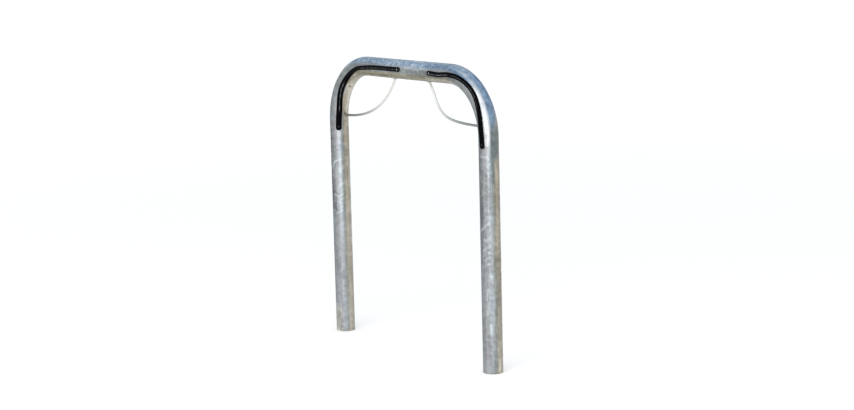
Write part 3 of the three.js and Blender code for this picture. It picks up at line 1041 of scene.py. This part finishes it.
def makeRubberFinish(side):
    # nearly black, with a painted grey highlight line along its crown in places
    material, tree, shader = newFinish(f"rubber_{side}")
    place = ownPlace(tree)
    dust = grain(tree, place, *rubber["dust"])
    across = addNode(tree, "SeparateXYZ", {0: place}).outputs
    stray = swing(tree, grain(tree, place, *rubber["lineNoise"]), rubber["lineSwing"])
    spread = calc(tree, "ADD", across["X"], stray)
    crownHighlight = 0.0
    for middle, reach, strength in crownHighlightRuns[side]:
        run = window(tree, across["Z"], middle, reach, rubber["runSoft"])
        crownHighlight = calc(tree, "MAXIMUM", calc(tree, "MULTIPLY", run, strength), crownHighlight)
    line = window(tree, spread, rubber["lineAside"], rubber["lineReach"], rubber["lineSoft"])
    crownHighlight = calc(tree, "MULTIPLY", line, crownHighlight)
    crownHighlight = calc(tree, "MULTIPLY", crownHighlight, fade(tree, dust, *rubber["crownHighlightFade"]))
    setSocket(tree, shader.inputs["Base Color"], mix(tree, crownHighlight, rubber["plain"], rubber["crownHighlight"]))
    shader.inputs["Specular IOR Level"].default_value = rubber["gloss"]
    setSocket(tree, shader.inputs["Roughness"], fade(tree, dust, *rubber["rough"]))
    bump(tree, shader, grain(tree, place, *rubber["grit"]), *rubber["relief"])
    return material


# the rivets at the legs' ends are near black, those at the bar's ends bright
rivetMetals = {
    "leg": ("rivetNearBlack", (0.05, 0.05, 0.052, 1), 0.5),
    "bar": ("rivetAluminium", (0.75, 0.76, 0.76, 1), 0.35),
    "pin": ("rivetSteel", (0.12, 0.115, 0.11, 1), 0.4),
}
rivetWear = {
    "grain": (900, 3),
    "patchy": (0.35, 0.6),
    "darkShare": 0.5,
    "metallic": 0.9,
    "roughFade": (0.3, 0.7),
    "roughSpread": 0.15,
    "relief": (0.15, 0.0001),
}


def makeRivetFinish(name, colour, roughness):
    material, tree, shader = newFinish(name)
    wear = grain(tree, ownPlace(tree), *rivetWear["grain"])
    dark = darker(colour, rivetWear["darkShare"])
    colour = mix(tree, fade(tree, wear, *rivetWear["patchy"]), dark, colour)
    setSocket(tree, shader.inputs["Base Color"], colour)
    shader.inputs["Metallic"].default_value = rivetWear["metallic"]
    rougher = roughness + rivetWear["roughSpread"]
    rough = fade(tree, wear, *rivetWear["roughFade"], roughness, rougher)
    setSocket(tree, shader.inputs["Roughness"], rough)
    bump(tree, shader, wear, *rivetWear["relief"])
    return material


tube = makeTube()
cutters = []
for face in faceTurns:
    for side in stripFits:
        for origin, axis in rivetPlaces(face, side).values():
            cutters.append(makeHoleCutter(origin, axis))
drill(tube, cutters)
dress(tube, makeTubeFinish(), "hoop_tube")
print("tube bent and drilled,", len(tube.data.polygons), "faces")

rodFinish = makeRodFinish()
weldFinishes = {
    "leg": makeWeldFinish("weldPaintedShade", weldZinc["dull"]),
    "bar": makeWeldFinish("weldPale", weldZinc["pale"]),
}
for side in rodFits:
    node = f"lock_rod_{side}"
    dress(makeRod(side), rodFinish, node)
    for end, weldFinish in weldFinishes.items():
        dress(makeWeld(side, end), weldFinish, node)
print("lock rods welded")

rubberFinishes = {side: makeRubberFinish(side) for side in stripFits}
rivetFinishes = {part: makeRivetFinish(*metal) for part, metal in rivetMetals.items()}
for face in faceTurns:
    for side in stripFits:
        places = rivetPlaces(face, side)
        strip = makeStrip(face, side)
        drill(strip, [makeRecessCutter(origin, axis) for origin, axis in places.values()])
        dress(strip, rubberFinishes[side], f"strip_{face}_{side}")
        for end, (origin, axis) in places.items():
            tail = f"{face}_{side}_{end}"
            sleeve = makeRivetSleeve(f"rivetSleeve_{tail}", origin, axis)
            dress(sleeve, rivetFinishes[end], f"rivet_{tail}")
            pin = makeRivetPin(f"rivetPin_{tail}", origin, axis)
            dress(pin, rivetFinishes["pin"], f"rivet_pin_{tail}")
print("strips riveted on")


# studio: a pale floor, an even sky and soft lamps
studio = {
    "floorSize": 120,
    "floorColour": (0.86, 0.82, 0.76, 1),
    "nearGlow": 0.33,     # added at the hoop, and far away
    "farGlow": 0.47,
    "glowReach": (1.0, 9.0),
    "horizon": (1.0, 1.0, 1.0, 1),
    "zenith": (0.6, 0.67, 0.77, 1),
    "skyLow": 0.06,
    "skyHigh": 0.4,
}
lamps = {
    "key": {"place": (3.63, -5.0, 4.0), "size": (6.6, 8.2), "power": 290, "colour": (1, 0.995, 0.985)},
    "lowPanel": {"place": (3.5, -3.3, 0.4), "size": (0.9, 0.8), "power": 8, "colour": (0.98, 0.99, 1)},
}


def addFloor():
    half = studio["floorSize"] / 2
    mesh = bpy.data.meshes.new("floor")
    corners = [(-half, -half, 0), (half, -half, 0), (half, half, 0), (-half, half, 0)]
    mesh.from_pydata(corners, [], [(0, 1, 2, 3)])
    floor = bpy.data.objects.new("floor", mesh)
    scene.collection.objects.link(floor)
    material, tree, shader = newFinish("floor")
    shader.inputs["Base Color"].default_value = studio["floorColour"]
    shader.inputs["Roughness"].default_value = 1
    shader.inputs["Specular IOR Level"].default_value = 0
    # the glow is there to be seen, and lights nothing
    path = addNode(tree, "LightPath").outputs
    seen = calc(tree, "MAXIMUM", path["Is Camera Ray"], path["Is Glossy Ray"])
    seen = calc(tree, "MAXIMUM", seen, path["Is Transmission Ray"])
    shader.inputs["Emission Color"].default_value = (1, 1, 1, 1)
    position = addNode(tree, "NewGeometry").outputs["Position"]
    away = calcVector(tree, "DISTANCE", position, (0, 0, 0))
    glow = fade(tree, away, *studio["glowReach"], studio["nearGlow"], studio["farGlow"])
    setSocket(tree, shader.inputs["Emission Strength"], calc(tree, "MULTIPLY", seen, glow))
    mesh.materials.append(material)


def addSky():
    world = bpy.data.worlds.new("sky")
    scene.world = world
    world.use_nodes = True
    tree = world.node_tree
    way = addNode(tree, "TexCoord").outputs["Generated"]
    height = addNode(tree, "SeparateXYZ", {0: way}).outputs["Z"]
    blue = fade(tree, height, studio["skyLow"], studio["skyHigh"])
    colour = mix(tree, blue, studio["horizon"], studio["zenith"])
    tree.links.new(colour, tree.nodes["Background"].inputs["Color"])


def addLamps():
    for name, lamp in lamps.items():
        data = bpy.data.lights.new(name, "AREA")
        data.shape = "RECTANGLE"
        data.size, data.size_y = lamp["size"]
        data.energy = lamp["power"]
        data.color = lamp["colour"]
        light = bpy.data.objects.new(name, data)
        light.location = lamp["place"]
        toHoop = Vector((0, 0, hoop["barHeight"] / 2)) - light.location
        light.rotation_euler = toHoop.to_track_quat("-Z", "Y").to_euler()
        light.visible_camera = False
        scene.collection.objects.link(light)


addFloor()
addSky()
addLamps()
scene.view_settings.view_transform = "Standard"
print("studio lit")

bpy.context.view_layer.update()
